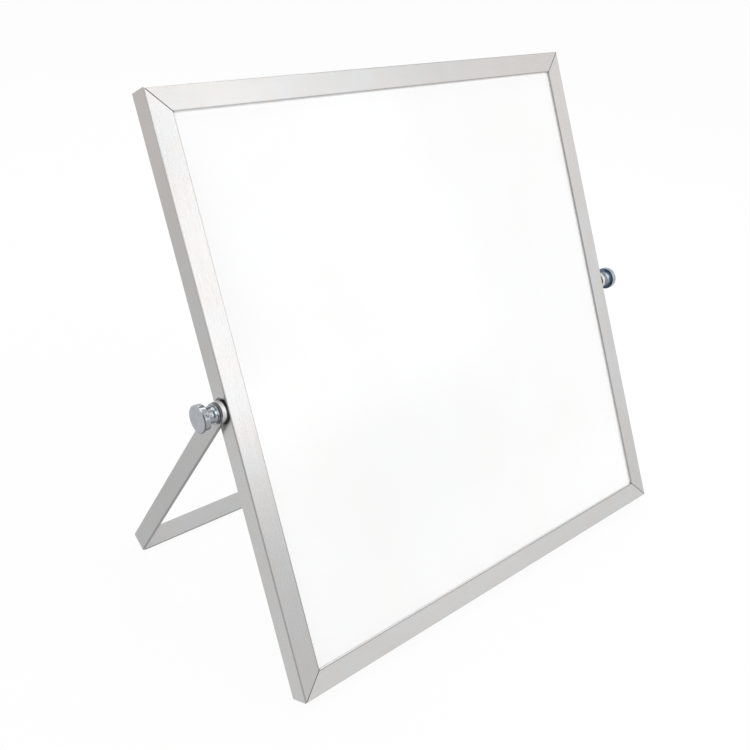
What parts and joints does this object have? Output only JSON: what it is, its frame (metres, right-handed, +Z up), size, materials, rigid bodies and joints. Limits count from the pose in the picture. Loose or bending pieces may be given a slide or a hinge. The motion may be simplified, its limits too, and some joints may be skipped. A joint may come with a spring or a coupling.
{
  "type": "magnetic desk whiteboard easel",
  "caption": "Square white magnetic writing board in a slim mitred aluminium frame, leaning on a U-shaped strip stand held at mid height by a thumb screw on each side.",
  "frame": {"origin": "on the desk under the middle of the object's overall box", "axes": "+X to the right along the board's width, -Y the way that the writing face looks, +Z up"},
  "size_m": [0.278, 0.1358, 0.2294],
  "materials": {
    "frame_aluminium": "brushed, clear anodised",
    "stand_aluminium": "satin strip",
    "key_steel": "zinc-plated block",
    "white_lacquer": "glossy white lacquer on steel",
    "core_board": "raw fibreboard",
    "zinc_plate": "bright blue-white zinc plate",
    "black_plastic": "moulded nylon"
  },
  "bodies": {
    "board": {"frame_bottom_rail": "frame_aluminium", "frame_top_rail": "frame_aluminium", "frame_left_rail": "frame_aluminium", "frame_right_rail": "frame_aluminium", "corner_key_bottom_left": "key_steel", "corner_key_top_left": "key_steel", "corner_key_top_right": "key_steel", "corner_key_bottom_right": "key_steel", "front_writing_sheet": "white_lacquer", "board_core": "core_board", "back_writing_sheet": "white_lacquer", "left_square_nut": "zinc_plate", "left_spacer_washer": "black_plastic", "right_square_nut": "zinc_plate", "right_spacer_washer": "black_plastic"},
    "left_washers": {"left_flat_washer": "zinc_plate", "left_spring_washer": "zinc_plate"},
    "left_screw": {"left_thumb_screw": "zinc_plate"},
    "right_washers": {"right_flat_washer": "zinc_plate", "right_spring_washer": "zinc_plate"},
    "right_screw": {"right_thumb_screw": "zinc_plate"},
    "stand": {"stand": "stand_aluminium"}
  },
  "joints": [
    {"name": "stand_pivot", "type": "hinge", "parent": "board", "child": "stand", "pos_m": [0, -0.00499, 0.11471], "axis": [1, 0, 0], "continuous": true},
    {"name": "left_screw_travel", "type": "slide", "parent": "board", "child": "left_washers", "axis": [-1, 0, 0], "range_m": [0, 0.0028]},
    {"name": "left_screw_turn", "type": "hinge", "parent": "left_washers", "child": "left_screw", "pos_m": [-0.127, -0.00499, 0.11471], "axis": [-1, 0, 0], "range_deg": [0, 1440]},
    {"name": "right_screw_travel", "type": "slide", "parent": "board", "child": "right_washers", "axis": [1, 0, 0], "range_m": [0, 0.0028]},
    {"name": "right_screw_turn", "type": "hinge", "parent": "right_washers", "child": "right_screw", "pos_m": [0.127, -0.00499, 0.11471], "axis": [1, 0, 0], "range_deg": [0, 1440]}
  ],
  "couplings": [
    {"joint": "left_screw_turn", "follows": "left_screw_travel", "rad_per_m": 8975.9},
    {"joint": "right_screw_turn", "follows": "right_screw_travel", "rad_per_m": 8975.9}
  ]
}
